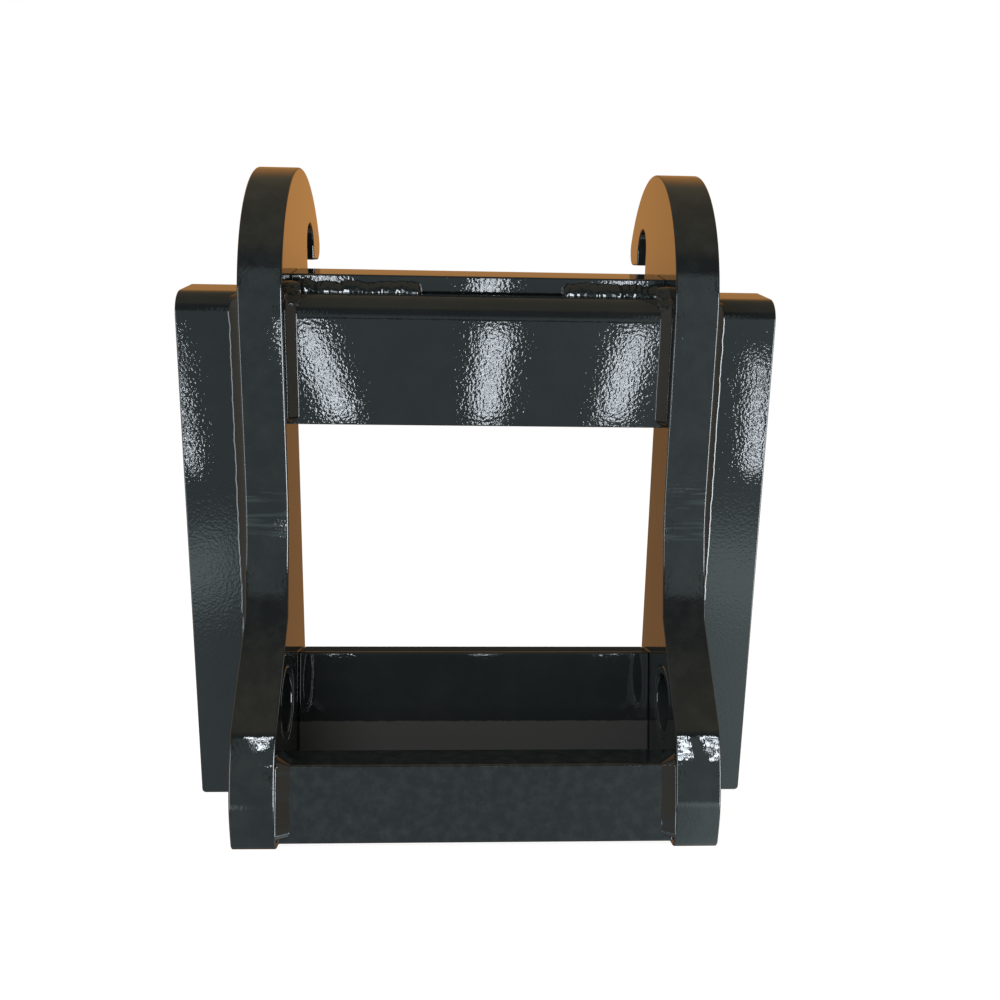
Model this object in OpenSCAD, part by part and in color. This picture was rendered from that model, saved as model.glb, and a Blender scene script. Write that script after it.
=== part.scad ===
// Quick coupler bracket: two hooked side plates held apart by a cross plate,
// a top bar and a bottom box, with a wing plate welded to the outside of each.
// Millimetres. +Z is up, the front (attachment side) faces -Y, X runs across.
// The bracket stands on its feet and on the lower edges of its wings.

/* [Side plates] */
// Thickness of each side plate
plate_t = 30; // [25:1:35]
// Clear distance between the two side plates
inner_w = 264; // [240:2:320]
// Height of the bend where the upright starts to lean forward
bend_z = 219; // [210:1:228]
// Forward lean of the upright, degrees
lean = 13.8; // [11:0.2:16]
// Depth of the upright below the hook, front edge to rear edge
stem_d = 54; // [50:1:60]
// Radius of the front edge at the bend
bend_r = 165; // [120:5:200]

/* [Hooks] */
// Outer radius of the hook
hook_r = 103; // [100:1:107]
// Height of the hook's centre above the bend, along the upright
hook_u = 138; // [134:1:142]
// Diameter of the shaft that the hook takes
slot_d = 36; // [30:1:40]
// Distance of the slot's centre line behind the front edge
slot_n = 139; // [136:1:142]
// Height of the slot's centre above the bend, along the upright
slot_u = 184; // [180:1:188]
// Length of the hook's tip below the slot's centre
tip_len = 10; // [8:1:18]
// Corner radius of the hook's tip
tip_r = 12; // [5:1:14]

/* [Feet] */
// How far the foot stands out in front of the upright
foot_out = 42; // [36:1:48]
// Height of the foot's front face
foot_h = 80; // [74:1:86]
// Height at which the slope meets the upright
slope_z = 149; // [142:1:156]
// Swell of the foot's front face
foot_bulge = 5; // [2:1:7]
// How far the foot's lower front edge is drawn back from the swell
foot_back = 8; // [4:1:8]
// Chamfer along the foot's lower corners
foot_c = 3; // [2:0.5:6]

/* [Bent plates] */
// Thickness of the cross plate and of the wings
sheet_t = 12; // [8:1:14]
// Outer radius of the bend along their upper edge
fold_r = 17; // [15:1:22]
// Flat length of the flange behind the bend
flange_l = 34; // [28:1:38]
// Angle that the flange rises towards the rear, degrees
flange_rise = 5; // [0:0.5:7]
// Height at which the bend starts above the upright's bend, along the upright
fold_u = 136; // [132:1:140]

/* [Cross plate] */
// Setback of the cross plate behind the upright's front edge
cross_n = 16; // [13:1:20]
// Lower edge of the cross plate above the upright's bend
cross_u0 = 63; // [55:1:70]

/* [Top bar] */
// Thickness of the top bar
bar_t = 12; // [8:1:14]
// Width of the top bar, front to rear
bar_w = 36; // [28:1:40]
// Setback of the bar behind the start of the flange
bar_n = 9; // [8:1:12]

/* [Wings] */
// Overall width over both wings
wing_w = 426; // [400:2:450]
// Setback of the wing behind the upright's front edge
wing_n = 36; // [33:1:38]
// Corner radius of the wing's lower outer corner
wing_cr = 3; // [1:0.5:6]

/* [Bottom box] */
// Setback of the front plate behind the foot's front corner
front_n = 4; // [2:0.5:8]
// Thickness of the front plate
front_t = 40; // [24:1:44]
// Height of the front plate's upper edge
front_h = 56; // [48:1:62]
// Clearance of the box's lower edges above the ground
box_z0 = 4; // [1:0.5:5]
// Distance of the rear plate behind the upright's front edge
rear_y = 50; // [46:1:52]
// Thickness of the rear plate
rear_t = 28; // [16:1:28]
// Height of the rear plate's upper edge
rear_h = 117; // [110:1:118]

/* [Locking bores] */
// Diameter of the bore for the locking pin
pin_d = 40; // [34:1:42]
// Wall of the bush around the bore
bush_wall = 6; // [4:0.5:8]
// Height of the bore above the ground
pin_z = 89; // [86:1:92]
// Distance of the bore behind the upright's front edge
pin_y = 1; // [-2:1:4]

/* [Welds] */
// Leg of the fillet welds
weld_leg = 8; // [6:0.5:9]
// Leg of the wings' front welds, across the wing
wing_weld = 14; // [8:1:16]
// Length of the left weld along the top bar
top_weld_left = 92; // [70:1:110]
// Length of the right weld along the top bar
top_weld_right = 74; // [60:1:110]

/* [Hidden] */
$fn = 72;
paint = [0.13, 0.15, 0.17];
paint_weld = [0.17, 0.19, 0.21];

// Half spacings across the bracket
in_x = inner_w / 2;
out_x = in_x + plate_t;
wing_x = wing_w / 2;

// A point of the leaning upright: n behind its front edge, u above the bend
function up(n, u) = [n * cos(lean) - u * sin(lean), bend_z + n * sin(lean) + u * cos(lean)];
// The u of the point of the leaning line n = const that lies at height z
function u_at(n, z) = (z - bend_z - n * sin(lean)) / cos(lean);

foot_y = -foot_out;
front_y = foot_y + front_n;
throat_n = slot_n - slot_d / 2;
tip_u = slot_u - tip_len;
bend_h = bend_r * tan(lean / 2);

// Centre (n, u) of the round on the hook's tip
tip_c = let (u = tip_u + tip_r) [hook_r + sqrt(pow(hook_r - tip_r, 2) - pow(u - hook_u, 2)), u];

// The middle of the depth, so that the origin sits under the middle of the box
mid_y = (up(tip_c[0], tip_c[1])[0] + tip_r + foot_y - foot_bulge) / 2;

// Extrudes a side view (y, z) across x0 to x1
module across(x0, x1) {
    translate([x0, -mid_y, 0]) rotate([90, 0, 90]) linear_extrude(x1 - x0) children();
}

// Puts a shape drawn in (n, u) on the leaning upright
module leaning() {
    translate([0, bend_z]) rotate(lean) children();
}

// Everything above the ground
module grounded(z0 = 0) {
    difference() {
        children();
        translate([-500, z0 - 600]) square([1000, 600]);
    }
}

// Front edge of the foot: a chamfer, a face drawn back below, then a swell up to the slope
function foot_edge() = let (y0 = foot_y - foot_bulge, y1 = y0 + foot_back) concat(
    [[y1 + foot_c, 0]],
    [for (i = [0:6]) let (a = i / 6)
        [y1 - foot_back * sin(90 * a), foot_c + (foot_h * 0.5 - foot_c) * a]],
    [for (i = [2:6]) let (a = i / 6)
        [foot_y - foot_bulge * cos(90 * (a * 1.25 - 0.25)), foot_h * (0.5 + 0.5 * a)]]);

// Front edge at the bend, filled in by a large radius
function bend_edge() = [for (i = [0:8]) let (a = lean * i / 8)
    [bend_r * (cos(a) - 1), bend_z - bend_h + bend_r * sin(a)]];

// Outer arc of the hook and the round of its tip, from the front edge over the top
function hook_edge() = let (a = atan2(tip_c[1] - hook_u, tip_c[0] - hook_r)) concat(
    [for (i = [0:80]) let (t = (180 - a) * i / 80)
        up(hook_r - hook_r * cos(t), hook_u + hook_r * sin(t))],
    [for (i = [1:10]) let (t = a - (a + 90) * i / 10)
        up(tip_c[0] + tip_r * cos(t), tip_c[1] + tip_r * sin(t))]);

module side_outline() {
    difference() {
        polygon(concat(
            foot_edge(), [[0, slope_z]], bend_edge(), hook_edge(),
            [up(throat_n, tip_u), up(throat_n, hook_u + 4), up(stem_d, 84),
             up(stem_d, u_at(stem_d, foot_c)), [up(stem_d, u_at(stem_d, 0))[0] - foot_c, 0]]));
        leaning() {
            translate([slot_n, slot_u]) circle(slot_d / 2);
            translate([throat_n, tip_u - 1]) square([slot_d, slot_u - tip_u + 1]);
        }
        translate([pin_y, pin_z]) circle(pin_d / 2 + bush_wall);
    }
}

module side_plate() {
    color(paint) across(in_x, out_x) side_outline();
}

// Bent plate in (n, u): a panel from u0 up to the bend, and the flange behind it
module bent_sheet(n0, u0) {
    a = 90 - flange_rise;
    ri = fold_r - sheet_t;
    c = [n0 + fold_r, fold_u];
    e = [sin(flange_rise), cos(flange_rise)];
    polygon(concat(
        [[n0, u0]],
        [for (i = [0:16]) c + fold_r * [-cos(a * i / 16), sin(a * i / 16)]],
        [c + [-e[0], e[1]] * fold_r + flange_l * [e[1], e[0]],
         c + [-e[0], e[1]] * ri + flange_l * [e[1], e[0]]],
        [for (i = [16:-1:0]) c + ri * [-cos(a * i / 16), sin(a * i / 16)]],
        [[n0 + sheet_t, u0]]));
}

// Start of the flange's flat upper face, and the directions along and out of it
flange_c = [fold_r, fold_u] + fold_r * [-sin(flange_rise), cos(flange_rise)];

module cross_plate() {
    color(paint) across(-in_x, in_x) leaning() bent_sheet(cross_n, cross_u0);
}

module top_bar() {
    color(paint) across(-in_x, in_x) leaning()
        translate([cross_n, 0] + flange_c) rotate(flange_rise)
            translate([bar_n, 0]) square([bar_w, bar_t]);
}

module wing() {
    color(paint) difference() {
        across(out_x, wing_x) grounded() leaning() bent_sheet(wing_n, u_at(wing_n, -20));
        // Round lower outer corner
        translate([wing_x - wing_cr, -mid_y + up(wing_n, u_at(wing_n, 0))[0] - 30, wing_cr])
            rotate([-90, 0, 0]) difference() {
                translate([0, 0, 0]) cube([20, 20, 90]);
                translate([0, 0, -1]) cylinder(r = wing_cr, h = 92, $fn = 32);
            }
    }
}

module box_front_plate() {
    color(paint) across(-in_x, in_x)
        translate([front_y, box_z0]) square([front_t, front_h - box_z0]);
}

module box_rear_plate() {
    color(paint) across(-in_x, in_x)
        translate([rear_y, box_z0]) square([rear_t, rear_h - box_z0]);
}

module lock_bush() {
    color(paint) translate([in_x, pin_y - mid_y, pin_z]) rotate([0, 90, 0]) difference() {
        cylinder(r = pin_d / 2 + bush_wall, h = plate_t);
        translate([0, 0, -1]) cylinder(r = pin_d / 2, h = plate_t + 2);
    }
}

// Fillet weld with legs a (along x) and b (along the second axis)
module fillet(a, b) {
    polygon([[0, 0], [a, 0], [a * 0.62, b * 0.5], [a * 0.34, b * 0.78], [0, b]]);
}

// Weld that runs along the upright from u0 to u1, at x and n, towards sx and sn
module upright_weld(x, n, u0, u1, sx, sn, a, b) {
    color(paint_weld) translate([0, -mid_y, bend_z]) rotate([lean, 0, 0])
        translate([x, n, u0]) linear_extrude(u1 - u0) scale([sx, sn]) fillet(a, b);
}

module weld_wing_front() {
    depth = wing_weld - 2;
    upright_weld(out_x, wing_n, u_at(wing_n - depth, 2), fold_u, 1, -1, wing_weld, depth);
}

module weld_wing_rear() {
    upright_weld(out_x, wing_n + sheet_t, u_at(wing_n + sheet_t, 4), 78, 1, 1,
                 weld_leg * 0.75, weld_leg * 0.7);
}

module weld_cross() {
    upright_weld(in_x, cross_n, cross_u0 + 2, fold_u, -1, -1, weld_leg, weld_leg);
}

// Weld in the corner between the bar's front face and the flange
module bar_weld(x0, x1) {
    color(paint_weld) across(x0, x1) leaning()
        translate([cross_n, 0] + flange_c) rotate(flange_rise)
            translate([bar_n, 0]) scale([-1, 1]) fillet(weld_leg - 1, weld_leg);
}

// Weld at the end of the bar, down the inside of the hook plate
module weld_bar_end() {
    color(paint_weld) translate([0, -mid_y, bend_z]) rotate([lean, 0, 0])
        translate([in_x, cross_n - 2, fold_u + 6]) scale([-1, 1, 1])
            linear_extrude(fold_r + 2) polygon([[0, 0], [weld_leg, 0], [0, -weld_leg]]);
}

module weld_box_front() {
    d = foot_bulge + front_n - foot_back + 4;
    color(paint_weld) translate([in_x, front_y - mid_y, box_z0 + 8]) scale([-1, -1, 1])
        linear_extrude(front_h - box_z0 - 9) fillet(weld_leg, d);
}

module weld_box_rear() {
    color(paint_weld) translate([in_x, rear_y + rear_t - mid_y, box_z0 + 2]) scale([-1, 1, 1])
        linear_extrude(84) fillet(weld_leg * 0.8, weld_leg * 0.7);
}

module other_side() { mirror([1, 0, 0]) children(); }

other_side() side_plate();  // hook_plate_left
side_plate();  // hook_plate_right
cross_plate();
top_bar();
other_side() wing();  // wing_left
wing();  // wing_right
box_front_plate();
box_rear_plate();
other_side() lock_bush();  // lock_bush_left
lock_bush();  // lock_bush_right
other_side() weld_wing_front();  // weld_wing_front_left
weld_wing_front();  // weld_wing_front_right
other_side() weld_wing_rear();  // weld_wing_rear_left
weld_wing_rear();  // weld_wing_rear_right
other_side() weld_cross();  // weld_cross_left
weld_cross();  // weld_cross_right
bar_weld(-in_x, -in_x + top_weld_left);  // weld_bar_left
bar_weld(in_x - top_weld_right, in_x);  // weld_bar_right
other_side() weld_bar_end();  // weld_bar_end_left
weld_bar_end();  // weld_bar_end_right
other_side() weld_box_front();  // weld_box_front_left
weld_box_front();  // weld_box_front_right
other_side() weld_box_rear();  // weld_box_rear_left
weld_box_rear();  // weld_box_rear_right
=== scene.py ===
"""Looks of the quick coupler bracket: painted plates with rounded edges, and rippled weld beads.

Everything is in metres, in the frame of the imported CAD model: +Z up, the front faces -Y.
"""
import math

import bmesh
import bpy
from mathutils import Matrix, Vector, noise


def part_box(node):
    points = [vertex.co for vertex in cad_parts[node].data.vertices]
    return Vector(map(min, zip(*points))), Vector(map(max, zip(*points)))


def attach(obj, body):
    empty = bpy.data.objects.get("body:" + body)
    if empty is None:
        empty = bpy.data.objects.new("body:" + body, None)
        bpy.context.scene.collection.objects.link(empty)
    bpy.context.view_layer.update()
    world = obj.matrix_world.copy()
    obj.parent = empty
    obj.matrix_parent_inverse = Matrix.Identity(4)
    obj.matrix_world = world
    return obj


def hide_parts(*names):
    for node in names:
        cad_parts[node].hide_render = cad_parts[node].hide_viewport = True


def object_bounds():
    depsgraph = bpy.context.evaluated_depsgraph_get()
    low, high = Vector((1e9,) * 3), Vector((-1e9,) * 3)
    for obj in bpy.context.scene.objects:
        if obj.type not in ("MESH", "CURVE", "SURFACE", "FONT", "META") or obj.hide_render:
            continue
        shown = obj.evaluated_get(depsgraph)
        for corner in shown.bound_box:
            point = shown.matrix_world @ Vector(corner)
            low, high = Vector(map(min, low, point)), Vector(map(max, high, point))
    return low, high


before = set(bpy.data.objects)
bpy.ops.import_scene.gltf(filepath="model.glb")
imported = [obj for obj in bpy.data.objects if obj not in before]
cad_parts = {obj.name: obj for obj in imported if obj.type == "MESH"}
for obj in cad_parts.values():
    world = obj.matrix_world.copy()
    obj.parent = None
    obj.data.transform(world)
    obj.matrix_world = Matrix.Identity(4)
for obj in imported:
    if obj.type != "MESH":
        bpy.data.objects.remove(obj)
cad_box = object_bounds()
MM = 0.001

# ---------------------------------------------------------------- sizes taken from the frame


def corner(node, which):
    """Lowest (0) or highest (1) corner of a node."""
    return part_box(node)[which]


IN_X = -corner("hook_plate_left", 1).x            # inner face of the right side plate
OUT_X = -corner("hook_plate_left", 0).x           # its outer face
LEAN = math.radians(13.8)                         # forward lean of the uprights
RISE = math.radians(5)                            # how much the flanges rise to the rear
SHEET = 12 * MM                                   # thickness of the bent sheets
FOLD_R = 17 * MM                                  # outer radius of their bend
BAR_N = 9 * MM                                    # from the start of the flange to the bar
BEND_Z = 219 * MM                                 # height of the bend of the uprights
FRONT_Y = corner("hook_plate_right", 0).y + 47 * MM   # front edge of the upright at its bend
CROSS_N, WING_N = 16 * MM, 36 * MM                # front faces of the cross plate and the wings
CROSS_U0, FOLD_U = 63 * MM, 136 * MM              # the cross plate's lower edge, and both bends

N_DIR = Vector((0, math.cos(LEAN), math.sin(LEAN)))
U_DIR = Vector((0, -math.sin(LEAN), math.cos(LEAN)))


def up(x, n, u):
    """Point of the leaning upright: n behind its front edge, u above its bend."""
    return Vector((x, FRONT_Y + n * math.cos(LEAN) - u * math.sin(LEAN),
                   BEND_Z + n * math.sin(LEAN) + u * math.cos(LEAN)))


def u_at(n, z):
    """How far above the bend the height z is reached, n behind the front edge."""
    return (z - BEND_Z - n * math.sin(LEAN)) / math.cos(LEAN)


# ---------------------------------------------------------------- shader nodes


def node_of(tree, kind, **values):
    """New node; each value goes to the input of that name, or else to the node itself."""
    n = tree.nodes.new(kind)
    for key, value in values.items():
        if key in n.inputs:
            n.inputs[key].default_value = value
        else:
            setattr(n, key, value)
    return n


def feed(tree, value, socket):
    """Puts a number, a colour or another node's output into a socket."""
    if isinstance(value, (int, float, tuple)):
        socket.default_value = value
    else:
        tree.links.new(value, socket)


def math_node(tree, operation, *values):
    n = node_of(tree, "ShaderNodeMath", operation=operation)
    for value, socket in zip(values, n.inputs):
        feed(tree, value, socket)
    return n.outputs[0]


def mix(tree, factor, a, b):
    """Colour a where factor is 0, b where it is 1."""
    n = node_of(tree, "ShaderNodeMix", data_type="RGBA")
    for value, socket in ((factor, n.inputs[0]), (a, n.inputs[6]), (b, n.inputs[7])):
        feed(tree, value, socket)
    return n.outputs[2]


def step(tree, source, low, high, start=0.0, end=1.0):
    """Goes softly from start to end while source goes from low to high."""
    n = node_of(tree, "ShaderNodeMapRange", interpolation_type="SMOOTHSTEP")
    for key, value in (("From Min", low), ("From Max", high), ("To Min", start), ("To Max", end)):
        n.inputs[key].default_value = value
    tree.links.new(source, n.inputs["Value"])
    return n.outputs[0]


def split_xyz(tree, vector):
    n = node_of(tree, "ShaderNodeSeparateXYZ")
    tree.links.new(vector, n.inputs[0])
    return n.outputs


def noise_tex(tree, coords, scale, detail, rough=0.5, stretch=None):
    tex = node_of(tree, "ShaderNodeTexNoise", Scale=scale, Detail=detail, Roughness=rough)
    if stretch is not None:
        mapping = node_of(tree, "ShaderNodeMapping")
        mapping.inputs["Scale"].default_value = stretch
        tree.links.new(coords, mapping.inputs["Vector"])
        coords = mapping.outputs[0]
    tree.links.new(coords, tex.inputs["Vector"])
    return tex.outputs["Fac"]


def ramp(tree, source, low, high, a=(0, 0, 0, 1), b=(1, 1, 1, 1)):
    n = node_of(tree, "ShaderNodeValToRGB")
    elements = n.color_ramp.elements
    elements[0].position, elements[0].color = low, a
    elements[1].position, elements[1].color = high, b
    tree.links.new(source, n.inputs[0])
    return n.outputs[0]


def bump(tree, height, distance, below=None):
    n = node_of(tree, "ShaderNodeBump", Strength=1.0, Distance=distance)
    tree.links.new(height, n.inputs["Height"])
    if below is not None:
        tree.links.new(below, n.inputs["Normal"])
    return n.outputs[0]


# ---------------------------------------------------------------- materials

PAINT = (0.0165, 0.0205, 0.0225, 1)
PAINT_DUSTY = (0.023, 0.0265, 0.0275, 1)
PATCHES = (0.42, 0.74)                        # noise between plain and dusty paint
ROUGHNESS = (0.015, 0.03)
ENAMEL_IOR, COAT, COAT_ROUGHNESS = 1.5, 0.3, 0.02
PEEL_SCALE, PEEL_HEIGHT = 490, 0.000052       # noise scale and bump height of the orange peel
WAVE_SCALE, WAVE_HEIGHT = 45, 0.00003         # of its slow unevenness
CUT_SCALE, CUT_HEIGHT = 330, 0.00015          # and of the flame cut's drag lines
CUT_STRETCH = (0.08, 1, 1)
CUT_START, CUT_END = (0.196, 0.207), (0.226, 0.262)   # heights over which these come and go
CUT_REST = 0.12                               # what is left of them higher up
RIDGE_SHEEN_RANGE = (0.47, 0.60)                     # ridge heights that get the painted highlight
# pale greenish colour painted on the cut ridges: a painted highlight
RIDGE_SHEEN = (0.046, 0.060, 0.058, 1)
# lighter grey painted low on the box's rear plate: a painted reflection of the front plate's rear
# face
MIRRORED_BAND = (0.066, 0.068, 0.067, 1)
MIRRORED_BAND_EDGE, MIRRORED_BAND_WOBBLE = 0.0012, 0.0022


def painted_reflection_band(tree, coords, colour, top):
    """Lighter grey painted on the front side of the box's rear plate, up to the height top: a
    painted reflection of the front plate's rear face.
    """
    place = split_xyz(tree, coords)
    level = math_node(tree, "MULTIPLY_ADD", noise_tex(tree, coords, 160, 2, 0.6), MIRRORED_BAND_WOBBLE,
                      place["Z"])
    low = step(tree, level, top, top + MIRRORED_BAND_EDGE, 1.0, 0.0)
    middle_y = (corner("box_rear_plate", 0).y + corner("box_rear_plate", 1).y) / 2
    front_side = math_node(tree, "LESS_THAN", place["Y"], middle_y)
    return mix(tree, math_node(tree, "MULTIPLY", low, front_side), colour, MIRRORED_BAND)


def cut_ridges(tree, coords):
    """Level streaks of the flame cut, strongest where the cutter turned at the bend."""
    height = split_xyz(tree, coords)["Z"]
    strength = math_node(tree, "MULTIPLY", step(tree, height, *CUT_START),
                         step(tree, height, *CUT_END, 1.0, CUT_REST))
    streaks = noise_tex(tree, coords, CUT_SCALE, 2, 0.6, CUT_STRETCH)
    return math_node(tree, "MULTIPLY", streaks, strength)


def paint(name, peel, wave, dust=PAINT_DUSTY, patch_scale=24, cut=False, mirrored_band_top=None):
    """Dark blue-grey enamel. peel and wave say how strong the orange peel and its waves are."""
    m = bpy.data.materials.new(name)
    m.use_nodes = True
    t = m.node_tree
    bsdf = t.nodes["Principled BSDF"]
    coords = node_of(t, "ShaderNodeTexCoord").outputs["Object"]
    colour = ramp(t, noise_tex(t, coords, patch_scale, 4, 0.65), *PATCHES, PAINT, dust)
    if mirrored_band_top is not None:
        colour = painted_reflection_band(t, coords, colour, mirrored_band_top)
    rough_map = node_of(t, "ShaderNodeMapRange")
    rough_map.inputs["To Min"].default_value, rough_map.inputs["To Max"].default_value = ROUGHNESS
    t.links.new(noise_tex(t, coords, 60, 3, 0.6), rough_map.inputs["Value"])
    t.links.new(rough_map.outputs[0], bsdf.inputs["Roughness"])
    bsdf.inputs["IOR"].default_value = ENAMEL_IOR
    bsdf.inputs["Coat Weight"].default_value = COAT
    bsdf.inputs["Coat Roughness"].default_value = COAT_ROUGHNESS
    normal = bump(t, noise_tex(t, coords, WAVE_SCALE, 1), WAVE_HEIGHT * wave)
    if cut:
        ridges = cut_ridges(t, coords)
        normal = bump(t, ridges, CUT_HEIGHT, normal)
        # painted highlight: the ridges of the cut are painted pale greenish, in place of the sheen
        # they catch
        colour = mix(t, ramp(t, ridges, *RIDGE_SHEEN_RANGE), colour, RIDGE_SHEEN)
    t.links.new(colour, bsdf.inputs["Base Color"])
    normal = bump(t, noise_tex(t, coords, PEEL_SCALE, 1), PEEL_HEIGHT * peel, normal)
    t.links.new(normal, bsdf.inputs["Normal"])
    t.links.new(normal, bsdf.inputs["Coat Normal"])
    return m


MAT_PLATE = paint("plate_enamel", 0.75, 0.8, dust=(0.029, 0.033, 0.033, 1), patch_scale=70,
                  cut=True)
MAT_SHEET = paint("sheet_enamel", 1.0, 1.0)
MAT_BOX = paint("box_enamel", 0.5, 1.4, dust=(0.038, 0.044, 0.044, 1), patch_scale=130)
# its front side is painted lighter grey up to 65.5 mm: a painted reflection
MAT_BOX_REAR = paint("box_rear_enamel", 0.2, 0.5, mirrored_band_top=0.0655)
MAT_WELD = paint("weld_enamel", 0.3, 1.0)
MAT_BUSH = paint("bush_enamel", 0.2, 0.4)

# ---------------------------------------------------------------- plates

MERGE_DISTANCE = 2e-6
FLAT_ANGLE, SHARP_ANGLE = math.radians(0.6), math.radians(32)
ROUND_SEGMENTS, NORMAL_WEIGHT = 3, 80


def add_object(name, data):
    obj = bpy.data.objects.new(name, data)
    bpy.context.scene.collection.objects.link(obj)
    return obj


def finish_piece(obj, node, material):
    obj.data.materials.clear()
    obj.data.materials.append(material)
    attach(obj, "root")
    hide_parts(node)


def smooth_mesh(bm, me):
    """Makes the faces point outwards and shade smoothly, and writes them to the mesh."""
    bmesh.ops.recalc_face_normals(bm, faces=bm.faces)
    for f in bm.faces:
        f.smooth = True
    bm.to_mesh(me)
    bm.free()


def rounded_plate(node, name, material, radius):
    """The CAD solid with its arrises rounded, as a thick coat of enamel leaves them."""
    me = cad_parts[node].data.copy()
    obj = add_object(name, me)
    bm = bmesh.new()
    bm.from_mesh(me)
    bmesh.ops.remove_doubles(bm, verts=bm.verts, dist=MERGE_DISTANCE)
    bmesh.ops.dissolve_limit(bm, angle_limit=FLAT_ANGLE, verts=bm.verts, edges=bm.edges)
    smooth_mesh(bm, me)
    me.update()
    bevel = obj.modifiers.new("round", "BEVEL")
    bevel.width = radius
    bevel.segments = ROUND_SEGMENTS
    bevel.limit_method = "ANGLE"
    bevel.angle_limit = SHARP_ANGLE
    bevel.use_clamp_overlap = True
    bevel.harden_normals = False
    weighted = obj.modifiers.new("normals", "WEIGHTED_NORMAL")
    weighted.keep_sharp = True
    weighted.weight = NORMAL_WEIGHT
    finish_piece(obj, node, material)


for side in ("left", "right"):
    rounded_plate(f"hook_plate_{side}", f"hook_{side}", MAT_PLATE, 2.7 * MM)
    rounded_plate(f"wing_{side}", f"wing_panel_{side}", MAT_SHEET, 1.0 * MM)
    rounded_plate(f"lock_bush_{side}", f"bush_{side}", MAT_BUSH, 1.2 * MM)
rounded_plate("cross_plate", "cross_panel", MAT_SHEET, 0.9 * MM)
rounded_plate("top_bar", "bar", MAT_SHEET, 1.3 * MM)
rounded_plate("box_front_plate", "box_front", MAT_BOX, 1.4 * MM)
rounded_plate("box_rear_plate", "box_rear", MAT_BOX_REAR, 1.6 * MM)

# ---------------------------------------------------------------- weld beads

BEAD_STEP = 0.8 * MM
END_ROUND, END_SIZE = 4.5 * MM, 0.12          # length of a bead's rounded end, and its least size
ROOT_SINK, EDGE_SINK = 0.5 * MM, 0.25 * MM    # how far a bead reaches into the joined plates
CRESCENT, DRIFT = 2.2 * MM, 0.7 * MM          # bow of each ripple, and how its place wanders
RIPPLE_POWER = 0.7
LUMP_SCALE, TOE_WIDTH = 420, 0.1


def wander(t, seed, size):
    """Smooth noise along a bead, about -1 to 1."""
    return noise.noise(Vector((t / size, seed * 7.31, 3.7))) * 1.6


def bead(node, name, path, legs, seed, pitch=3.6 * MM, ripple=0.5 * MM, full=1.35, swell=0.10,
         across=16, toe=0.0, lumps=0.35 * MM):
    """Fillet weld along path: a list of (root, a, b), where a and b lie in the two joined faces.

    legs are its widths along a and b, and swell is how much they vary. full shapes its face: 1 is
    round, 2 flat and more than that hollow. toe raises its two edges.
    """
    points = [Vector(p[0]) for p in path]
    lengths = [0.0]
    for p, q in zip(points, points[1:]):
        lengths.append(lengths[-1] + (q - p).length)
    total = lengths[-1]
    rings = max(8, int(total / BEAD_STEP))
    bm = bmesh.new()
    grid = []
    for i in range(rings + 1):
        s = total * i / rings
        k = max(j for j in range(len(lengths)) if lengths[j] <= s + 1e-9)
        k = min(k, len(points) - 2)
        f = (s - lengths[k]) / (lengths[k + 1] - lengths[k])
        root = points[k].lerp(points[k + 1], f)
        a = Vector(path[k][1]).lerp(Vector(path[k + 1][1]), f).normalized()
        b = Vector(path[k][2]).lerp(Vector(path[k + 1][2]), f).normalized()
        end = min(s, total - s)
        cap = 1.0 if end >= END_ROUND else math.sqrt(max(0.0, 1 - (1 - end / END_ROUND) ** 2))
        cap = END_SIZE + (1 - END_SIZE) * cap
        la = legs[0] * cap * (1 + swell * wander(s, seed, 9 * MM)
                              + 0.4 * swell * wander(s, seed + 5, 3 * MM))
        lb = legs[1] * cap * (1 + swell * wander(s, seed + 11, 8 * MM)
                              + 0.4 * swell * wander(s, seed + 17, 3 * MM))
        ring = [bm.verts.new(root - (a + b) * ROOT_SINK)]
        for j in range(across + 1):
            phi = math.pi / 2 * j / across
            c, d = max(0.0, math.cos(phi)) ** full, max(0.0, math.sin(phi)) ** full
            w = math.sin(2 * phi)
            # each ripple is a crescent that bows back along the bead
            phase = (s + CRESCENT * w + DRIFT * wander(s, seed + 23, 14 * MM)) / pitch
            scale = abs(math.sin(math.pi * phase)) ** RIPPLE_POWER
            lift = ripple * (scale - 0.5) * w * cap
            lift += lumps * noise.noise((root + a * c * la + b * d * lb) * LUMP_SCALE) * w
            tau = j / across
            lift += toe * (math.exp(-(tau / TOE_WIDTH) ** 2)
                           + math.exp(-((1 - tau) / TOE_WIDTH) ** 2))
            p = root + a * (la * c) + b * (lb * d) + (a + b).normalized() * lift
            if j == 0:
                p -= b * EDGE_SINK
            if j == across:
                p -= a * EDGE_SINK
            ring.append(bm.verts.new(p))
        grid.append(ring)
    n = across + 2
    for r0, r1 in zip(grid, grid[1:]):
        for j in range(n):
            bm.faces.new((r0[j], r0[(j + 1) % n], r1[(j + 1) % n], r1[j]))
    bm.faces.new(list(reversed(grid[0])))
    bm.faces.new(grid[-1])
    me = bpy.data.meshes.new(name)
    smooth_mesh(bm, me)
    finish_piece(add_object(name, me), node, MAT_WELD)


FOLD_STEPS = 8


def around_fold(n0, x, ax, u_start, last_angle):
    """Path of a bead up a bent sheet's face and round its fold, beside a side plate at x."""
    path = [(up(x, n0, u_start), ax, -N_DIR), (up(x, n0, FOLD_U), ax, -N_DIR)]
    for i in range(1, FOLD_STEPS + 1):
        t = last_angle * i / FOLD_STEPS
        out = -N_DIR * math.cos(t) + U_DIR * math.sin(t)
        path.append((up(x, n0 + FOLD_R, FOLD_U) + out * FOLD_R, ax, out))
    return path


LEG = 8 * MM
SMOOTH = {"ripple": 0.03 * MM, "lumps": 0.03 * MM}    # beads that show no ripples under the paint
FORWARD, BACKWARD, UPWARD = Vector((0, -1, 0)), Vector((0, 1, 0)), Vector((0, 0, 1))

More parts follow.
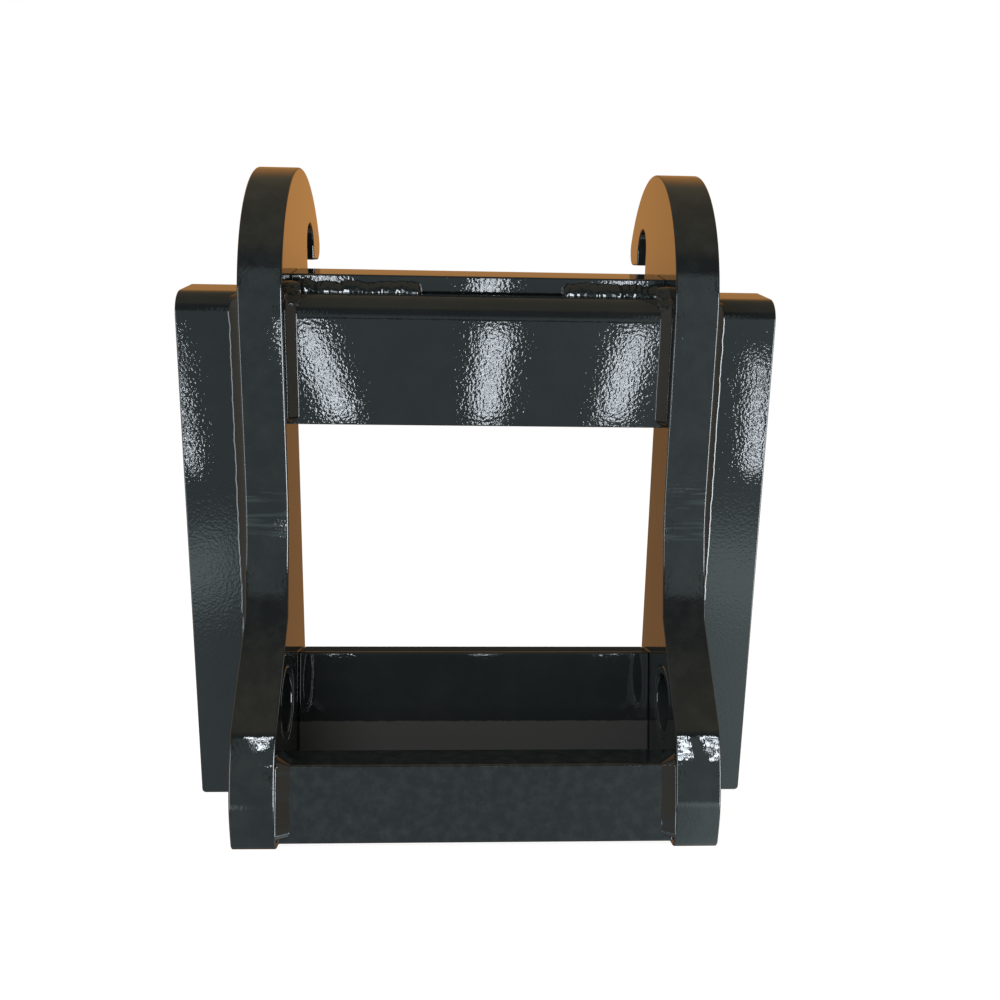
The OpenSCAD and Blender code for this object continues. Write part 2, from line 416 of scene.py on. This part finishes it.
for side, sign, seed in (("left", -1, 3), ("right", 1, 41)):
    outwards, inwards = Vector((sign, 0, 0)), Vector((-sign, 0, 0))
    start = u_at(WING_N - 12 * MM, 3 * MM)
    bead(f"weld_wing_front_{side}", f"bead_wing_front_{side}",
         around_fold(WING_N, sign * OUT_X, outwards, start, math.radians(62)),
         (13.6 * MM, 11.6 * MM), seed, pitch=4.2 * MM, full=2.3, toe=0.35 * MM, across=24,
         swell=0.03, **SMOOTH)
    rear_n = WING_N + SHEET
    bead(f"weld_wing_rear_{side}", f"bead_wing_rear_{side}",
         [(up(sign * OUT_X, rear_n, u), outwards, N_DIR) for u in (u_at(rear_n, 5 * MM), 76 * MM)],
         (LEG * 0.75, LEG * 0.68), seed + 2)
    bead(f"weld_cross_{side}", f"bead_cross_{side}",
         around_fold(CROSS_N, sign * IN_X, inwards, CROSS_U0 + 2 * MM, math.radians(60)),
         (LEG * 0.85, LEG * 0.85), seed + 4, pitch=3.9 * MM, full=2.0, toe=0.3 * MM, swell=0.03,
         **SMOOTH)

# the corner between the bar's front face and the flange
FLANGE_DIR = N_DIR * math.cos(RISE) + U_DIR * math.sin(RISE)
FLANGE_UP = U_DIR * math.cos(RISE) - N_DIR * math.sin(RISE)
FLANGE_START = up(0, CROSS_N + FOLD_R, FOLD_U) + FLANGE_UP * FOLD_R
BAR_ROOT = FLANGE_START + FLANGE_DIR * BAR_N
for side, seed, x0, x1 in (("left", 61, -IN_X, -IN_X + 92 * MM),
                           ("right", 83, IN_X - 74 * MM, IN_X)):
    bead(f"weld_bar_{side}", f"bead_bar_{side}",
         [(BAR_ROOT + Vector((x, 0, 0)), -FLANGE_DIR, FLANGE_UP) for x in (x0, x1)],
         (LEG * 0.98, LEG * 0.98), seed, pitch=4.6 * MM, ripple=0.7 * MM, full=1.15, swell=0.2)

front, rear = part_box("box_front_plate"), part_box("box_rear_plate")
front_y, front_top = front[0].y, front[1].z
for side, sign, seed in (("left", -1, 19), ("right", 1, 29)):
    inwards = Vector((-sign, 0, 0))
    x = sign * IN_X
    base = up(x, CROSS_N, FOLD_U) + FLANGE_UP * 7 * MM + FLANGE_DIR * 3 * MM
    top = base + FLANGE_UP * 17 * MM + FLANGE_DIR * 12 * MM
    bead(f"weld_bar_end_{side}", f"bead_bar_end_{side}",
         [(base, inwards, -FLANGE_DIR), (top, inwards, -FLANGE_DIR)],
         (LEG * 1.1, LEG * 0.9), seed, pitch=6 * MM, ripple=0.3 * MM, full=1.6, swell=0.12)
    # the box: front plate to foot, up and over its top, and rear plate to side plate
    bead(f"weld_box_front_{side}", f"bead_box_front_{side}",
         [(Vector((x, front_y, front[0].z + 3 * MM)), inwards, FORWARD),
          (Vector((x, front_y, front_top - 1 * MM)), inwards, FORWARD),
          (Vector((x, front_y + 1 * MM, front_top)), inwards, FORWARD + UPWARD),
          (Vector((x, front_y + 3 * MM, front_top)), inwards, UPWARD),
          (Vector((x, front_y + 19 * MM, front_top)), inwards, UPWARD)],
         (LEG * 1.05, 6.6 * MM), seed + 6, pitch=4.2 * MM, full=2.0, toe=0.05 * MM, swell=0.04,
         **SMOOTH)
    bead(f"weld_box_rear_{side}", f"bead_box_rear_{side}",
         [(Vector((x, rear[1].y, rear[0].z + z)), inwards, BACKWARD) for z in (3 * MM, 86 * MM)],
         (LEG * 0.8, LEG * 0.7), seed + 8)

# ---------------------------------------------------------------- stage: floor and strips


def stage_object(name, quads, material, height):
    """Stage piece made of quads, each a list of four corners."""
    me = bpy.data.meshes.new(name)
    corners = [c for quad in quads for c in quad]
    me.from_pydata(corners, [], [tuple(range(k, k + 4)) for k in range(0, len(corners), 4)])
    me.materials.append(material)
    obj = add_object(name, me)
    obj.location.z = height
    return obj


FLOOR_HALF = 15
floor_mat = bpy.data.materials.new("floor_pale")
floor_mat.use_nodes = True
floor_bsdf = floor_mat.node_tree.nodes["Principled BSDF"]
for key, value in (("Base Color", (0.3, 0.3, 0.3, 1)), ("Roughness", 0.9),
                   ("Specular IOR Level", 0.1), ("Emission Color", (1, 1, 1, 1)),
                   ("Emission Strength", 0.94)):
    floor_bsdf.inputs[key].default_value = value
floor = stage_object("floor", [[(-FLOOR_HALF, -FLOOR_HALF, 0), (FLOOR_HALF, -FLOOR_HALF, 0),
                                (FLOOR_HALF, FLOOR_HALF, 0), (-FLOOR_HALF, FLOOR_HALF, 0)]],
                     floor_mat, -0.0002)
floor.visible_glossy = False
floor.visible_diffuse = False

glow = bpy.data.materials.new("strip_glow")
glow.use_nodes = True
gt = glow.node_tree
gt.nodes.clear()
glow_coords = node_of(gt, "ShaderNodeTexCoord").outputs["Object"]
speckle = noise_tex(gt, glow_coords, 190, 1, 0.5, (1, 0.35, 1))
emission = node_of(gt, "ShaderNodeEmission", Color=(0.86, 0.93, 1.0, 1))
gt.links.new(step(gt, speckle, 0.47, 0.55, 1.2, 22.0), emission.inputs["Strength"])
gt.links.new(emission.outputs[0], node_of(gt, "ShaderNodeOutputMaterial").inputs["Surface"])

# Bright strips on the ground in front, which the leaning sheets mirror as upright bands: the
# middle x, the y and the half width of each strip's near end, and the same of its far end
STRIPS = (((-0.358, -0.530, 0.006), (-0.524, -1.05, 0.005)),
          ((-0.180, -0.718, 0.019), (-0.296, -1.15, 0.027)),
          ((0.027, -0.718, 0.018), (0.056, -1.15, 0.025)),
          ((0.209, -0.718, 0.018), (0.318, -1.15, 0.026)),
          ((0.380, -0.535, 0.011), (0.512, -0.98, 0.012)))
# Small upright panes close in front of the feet, mirrored by the swell of their faces: the left x,
# the right x and the height of each pane's lower edge, and the same of its upper edge
PANES = (((-0.1660, -0.1571, 0.080), (-0.1773, -0.1527, 0.125)),
         ((0.1535, 0.1666, 0.062), (0.1530, 0.1648, 0.122)),
         ((0.1806, 0.1903, 0.060), (0.1736, 0.1903, 0.122)))
PANE_Y = cad_box[0].y - 0.10
strip_quads = [[(near_x - near_half, near_y, 0), (far_x - far_half, far_y, 0),
                (far_x + far_half, far_y, 0), (near_x + near_half, near_y, 0)]
               for (near_x, near_y, near_half), (far_x, far_y, far_half) in STRIPS]
pane_quads = [[(low[0], PANE_Y, low[2]), (low[1], PANE_Y, low[2]),
               (high[1], PANE_Y, high[2]), (high[0], PANE_Y, high[2])] for low, high in PANES]
strips = stage_object("ground_strips", strip_quads + pane_quads, glow, 0.0008)
strips.visible_camera = False
strips.visible_diffuse = False
strips.visible_shadow = False

# ---------------------------------------------------------------- stage: the room

world = bpy.data.worlds.new("studio")
bpy.context.scene.world = world
world.use_nodes = True
wt = world.node_tree
wt.nodes.clear()
rays = node_of(wt, "ShaderNodeLightPath").outputs
direction = split_xyz(wt, node_of(wt, "ShaderNodeTexCoord").outputs["Generated"])
along_x, along_y, up_z = direction["X"], direction["Y"], direction["Z"]
off_middle = math_node(wt, "ABSOLUTE", along_x, 0.0)


def past(source, low, high):
    """0 on low's side and 1 on high's side, soft between them; low may be the larger."""
    return step(wt, source, low, high)


def inside(source, low, high, edge):
    """1 between low and high, with soft edges."""
    return math_node(wt, "SUBTRACT", past(source, low - edge, low + edge),
                     past(source, high - edge, high + edge))


def both(a, b):
    return math_node(wt, "MULTIPLY", a, b)


def layers(colour, *coats):
    """Lays each (mask, colour) over what is there."""
    for mask, coat in coats:
        colour = mix(wt, mask, colour, coat)
    return colour


ROOM_LOW = (0.335, 0.405, 0.43, 1)     # what the front faces mirror: a grey-blue floor and room
ROOM_EAST = (0.46, 0.56, 0.58, 1)      # the same room, brighter towards the right
ROOM_RIGHT = (0.98, 1.20, 1.26, 1)     # the floor low on that side
ROOM_LEFT = (0.46, 0.55, 0.58, 1)      # and low on the other side
ROOM_SKIRT = (0.035, 0.04, 0.042, 1)   # a dark skirting low in that room
ROOM_HIGH = (0.036, 0.034, 0.027, 1)   # its dim upper half
CEILING = (0.23, 0.185, 0.11, 1)
WALL_LOW = (0.34, 0.17, 0.066, 1)      # brown wall behind the object
WALL_MID = (0.80, 0.375, 0.115, 1)
WALL_HIGH = (0.52, 0.25, 0.08, 1)
WALL_GAP = (0.03, 0.028, 0.024, 1)     # a dark ledge across that wall
SOFT = (0.42, 0.47, 0.49, 1)           # what lights the paint itself, from low and from high
SOFT_HIGH = (0.34, 0.29, 0.21, 1)
SIDES = (14.0, 15.5, 16.5, 1)          # bright walls to the right and to the left, which draw
SIDES_LEFT = (4.5, 5.0, 5.4, 1)        # thin lines along the rounded arrises
FAR_SIDES = (0.40, 0.34, 0.27, 1)      # plain walls beyond them, mirrored by the side faces
GLINT = (1.25, 1.55, 1.62, 1)          # soft light patch, mirrored low on the wings
BACKDROP = (1.0, 1.0, 1.0, 1)          # what the camera sees

glint = both(inside(off_middle, 0.21, 0.33, 0.03), inside(up_z, -0.54, -0.485, 0.025))
# the side plates' fronts look past the dim half, so it starts higher for them
beside = math_node(wt, "ADD", inside(along_x, -0.226, -0.145, 0.01),
                   inside(along_x, 0.186, 0.266, 0.01))
beside = both(beside, past(up_z, 0.40, 0.30))
dim = both(past(up_z, -0.04, 0.20), math_node(wt, "SUBTRACT", 1.0, beside))
wall = layers(WALL_LOW,
              (past(up_z, 0.10, 0.26), WALL_MID),
              (past(up_z, 0.30, 0.42), WALL_HIGH),
              (inside(up_z, 0.11, 0.19, 0.01), WALL_GAP),
              (past(up_z, 0.72, 0.92), CEILING))
mirror_room = layers(
    ROOM_LOW,
    (past(along_x, 0.05, 0.25), ROOM_EAST),
    (both(past(along_x, 0.12, 0.30), past(up_z, -0.44, -0.50)), ROOM_RIGHT),
    (both(past(along_x, -0.16, -0.30), past(up_z, -0.50, -0.60)), ROOM_LEFT),
    (both(inside(up_z, -0.235, -0.15, 0.012), inside(along_x, -0.155, 0.196, 0.006)), ROOM_SKIRT),
    (glint, GLINT),
    (dim, ROOM_HIGH),
    (past(up_z, 0.5, 0.7), CEILING),
    (both(inside(off_middle, 0.40, 0.80, 0.02), inside(up_z, -0.5, 0.1, 0.05)),
     mix(wt, past(along_x, -0.01, 0.01), SIDES_LEFT, SIDES)),
    (past(along_y, 0.0, 0.4), wall),
    (past(off_middle, 0.80, 0.88), FAR_SIDES))
soft_room = mix(wt, past(up_z, -0.2, 0.4), SOFT, SOFT_HIGH)
seen = layers(soft_room, (rays["Is Glossy Ray"], mirror_room), (rays["Is Camera Ray"], BACKDROP))
background = node_of(wt, "ShaderNodeBackground")
wt.links.new(seen, background.inputs["Color"])
wt.links.new(background.outputs[0], node_of(wt, "ShaderNodeOutputWorld").inputs["Surface"])

SOFT_PLACE, SOFT_TARGET = Vector((-0.9, -2.2, 1.6)), Vector((0, 0, 0.25))
soft_data = bpy.data.lights.new("front_soft", "AREA")
soft_data.shape, soft_data.size, soft_data.size_y = "RECTANGLE", 1.8, 1.4
soft_data.energy, soft_data.color = 30, (0.95, 0.98, 1.0)
soft = add_object("front_soft", soft_data)
soft.location = SOFT_PLACE
soft.rotation_euler = (SOFT_TARGET - SOFT_PLACE).to_track_quat("-Z", "Y").to_euler()
soft.visible_camera = False
soft.visible_glossy = False

bpy.context.scene.view_settings.view_transform = "Standard"

# ---------------------------------------------------------------- camera

YAW, PITCH, ROLL = math.radians(2.521), math.radians(0.321), math.radians(0.427)
CAMERA_PLACE = (-0.01515, cad_box[0].y - 0.64947, 0.23576)
cam_data = bpy.data.cameras.new("camera")
cam_data.sensor_width = 36
cam_data.lens = 35.57
cam_data.shift_y = -0.0108
cam_data.clip_start = 0.01
forward = Vector((math.sin(YAW) * math.cos(PITCH), math.cos(YAW) * math.cos(PITCH),
                  math.sin(PITCH)))
right = Vector((math.cos(YAW), -math.sin(YAW), 0))
upward = right.cross(forward)
turned_right = right * math.cos(ROLL) + upward * math.sin(ROLL)
turned_up = -right * math.sin(ROLL) + upward * math.cos(ROLL)
cam = add_object("camera", cam_data)
cam.matrix_world = Matrix.Translation(CAMERA_PLACE) @ Matrix(
    (turned_right, turned_up, -forward)).transposed().to_4x4()
bpy.context.scene.camera = cam
